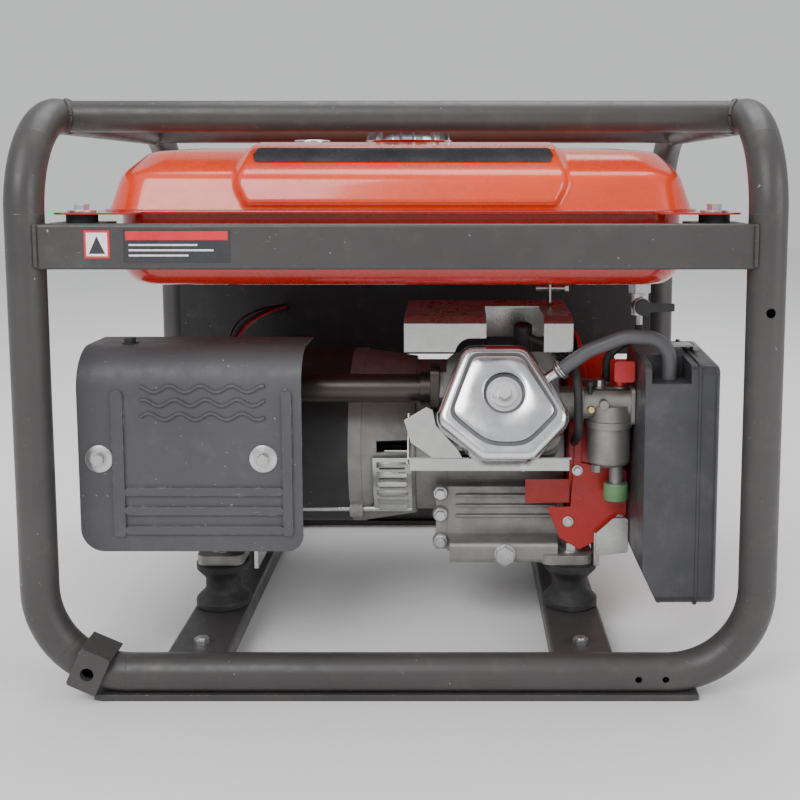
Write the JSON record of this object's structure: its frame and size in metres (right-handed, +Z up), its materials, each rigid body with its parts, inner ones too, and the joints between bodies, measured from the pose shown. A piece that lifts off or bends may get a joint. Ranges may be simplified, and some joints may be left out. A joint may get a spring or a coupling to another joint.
{
  "type": "portable generator",
  "caption": "Open-frame portable generator: tube frame, fuel tank on top, inclined single-cylinder engine, alternator, guarded muffler, air cleaner and rear control panel.",
  "frame": {"origin": "on the floor, under the middle of the frame", "axes": "+Z up, +X along the crankshaft from the alternator to the air cleaner, +Y towards the control panel; the exhaust side faces -Y"},
  "size_m": [0.69, 0.528, 0.55],
  "materials": {
    "frame_paint": "semi-matt grey paint",
    "galvanised": "zinc plated",
    "black_rubber": "matt",
    "tank_red": "gloss red paint",
    "tank_dark": "gloss dark red paint",
    "chrome": "polished",
    "needle_white": "gloss",
    "brass": "cast",
    "black_plastic": "fine grain",
    "cast_aluminium": "die cast",
    "polished_aluminium": "buffed",
    "steel": "machined",
    "cast_iron": "cast",
    "shroud_red": "gloss red paint",
    "hose_grey": "satin",
    "exhaust_steel": "heat tinted",
    "guard_paint": "semi-matt grey paint",
    "stator_black": "varnished laminations",
    "panel_paint": "black powder coat",
    "choke_red": "gloss",
    "ceramic": "glazed"
  },
  "bodies": {
    "frame": {"hoop_front": "frame_paint", "hoop_rear": "frame_paint", "top_rails": "frame_paint", "tank_bars": "frame_paint", "cross_channels": "frame_paint", "frame_plates": "frame_paint", "rubber_feet": "black_rubber", "frame_bolts": "galvanised", "engine_mounts": "black_rubber", "tank_upper_shell": "tank_red", "tank_lower_shell": "tank_dark", "tank_pads": "black_rubber", "fuel_strainer": "black_plastic", "fuel_gauge": "chrome", "fuel_valve": "galvanised", "fuel_hose": "black_rubber", "crankcase": "cast_aluminium", "crankcase_cover": "cast_aluminium", "cylinder_head": "cast_aluminium", "rocker_cover": "polished_aluminium", "engine_bolts": "galvanised", "piston": "steel", "fan_shroud": "shroud_red", "cooling_shrouds": "galvanised", "recoil_cover": "shroud_red", "ignition_coil": "black_plastic", "spark_plug": "ceramic", "plug_lead": "black_rubber", "carburettor": "cast_aluminium", "float_bowl": "polished_aluminium", "air_cleaner_case": "black_plastic", "air_cleaner_cover": "black_plastic", "filter_element": "hose_grey", "breather_hose": "hose_grey", "exhaust_pipe": "exhaust_steel", "muffler": "exhaust_steel", "muffler_guard": "guard_paint", "stay_brackets": "galvanised", "stator": "stator_black", "alternator_housing": "cast_aluminium", "end_bell": "cast_aluminium", "panel_box": "panel_paint", "panel_face": "panel_paint", "panel_sockets": "black_plastic", "voltmeter": "black_plastic"},
    "crank": {"crankshaft": "steel", "flywheel": "cast_iron", "rotor": "steel"},
    "grip": {"recoil_grip": "black_rubber"},
    "pulley": {"recoil_pulley": "black_plastic"},
    "cap": {"fuel_cap": "chrome"},
    "needle": {"gauge_needle": "needle_white"},
    "fuel_lever": {"valve_lever": "black_plastic"},
    "choke": {"choke_lever": "choke_red"},
    "throttle": {"throttle_arm": "galvanised"},
    "governor": {"governor_arm": "galvanised"},
    "clip": {"air_cleaner_clip": "galvanised"},
    "dipstick": {"oil_dipstick": "black_plastic"},
    "switch": {"engine_switch": "black_plastic"},
    "breaker": {"breaker_lever": "black_plastic"}
  },
  "joints": [
    {"name": "crank_spin", "type": "hinge", "parent": "frame", "child": "crank", "pos_m": [0, 0, 0.186], "axis": [1, 0, 0], "continuous": true},
    {"name": "grip_pull", "type": "slide", "parent": "frame", "child": "grip", "axis": [0, 1, 0], "range_m": [0, 0.45], "stiffness_N_per_m": 20},
    {"name": "pulley_spin", "type": "hinge", "parent": "frame", "child": "pulley", "pos_m": [0.252, 0, 0.186], "axis": [-1, 0, 0], "range_deg": [0, 645]},
    {"name": "cap_turn", "type": "hinge", "parent": "frame", "child": "cap", "pos_m": [0.003, -0.053, 0.513], "axis": [0, 0, 1], "range_deg": [0, 90]},
    {"name": "needle_swing", "type": "hinge", "parent": "frame", "child": "needle", "pos_m": [-0.099, -0.053, 0.51], "axis": [0, 0, 1], "range_deg": [-40, 40]},
    {"name": "fuel_lever_turn", "type": "hinge", "parent": "frame", "child": "fuel_lever", "pos_m": [0.235, -0.155, 0.349], "axis": [0, 1, 0], "range_deg": [0, 90]},
    {"name": "choke_swing", "type": "hinge", "parent": "frame", "child": "choke", "pos_m": [0.217, -0.135, 0.28], "axis": [0, 0, 1], "range_deg": [-60, 0]},
    {"name": "throttle_swing", "type": "hinge", "parent": "frame", "child": "throttle", "pos_m": [0.196, -0.135, 0.27], "axis": [0, 0, 1], "range_deg": [0, 50]},
    {"name": "governor_swing", "type": "hinge", "parent": "frame", "child": "governor", "pos_m": [0.1625, -0.01, 0.275], "axis": [0, 0, 1], "range_deg": [-11.9, 0]},
    {"name": "clip_lift", "type": "hinge", "parent": "frame", "child": "clip", "pos_m": [0.288, -0.14, 0.3086], "axis": [0, 1, 0], "range_deg": [0, 100]},
    {"name": "dipstick_turn", "type": "hinge", "parent": "frame", "child": "dipstick", "pos_m": [0.074, 0.1137, 0.11315], "axis": [0, 0.866, 0.5], "range_deg": [0, 270]},
    {"name": "switch_rock", "type": "hinge", "parent": "frame", "child": "switch", "pos_m": [-0.235, 0.2305, 0.312], "axis": [1, 0, 0], "range_deg": [0, 20]},
    {"name": "breaker_flip", "type": "hinge", "parent": "frame", "child": "breaker", "pos_m": [-0.14, 0.2265, 0.312], "axis": [1, 0, 0], "range_deg": [0, 40]}
  ],
  "couplings": [
    {"joint": "pulley_spin", "follows": "grip_pull", "rad_per_m": 25},
    {"joint": "throttle_swing", "follows": "governor_swing", "ratio": -4.2}
  ]
}
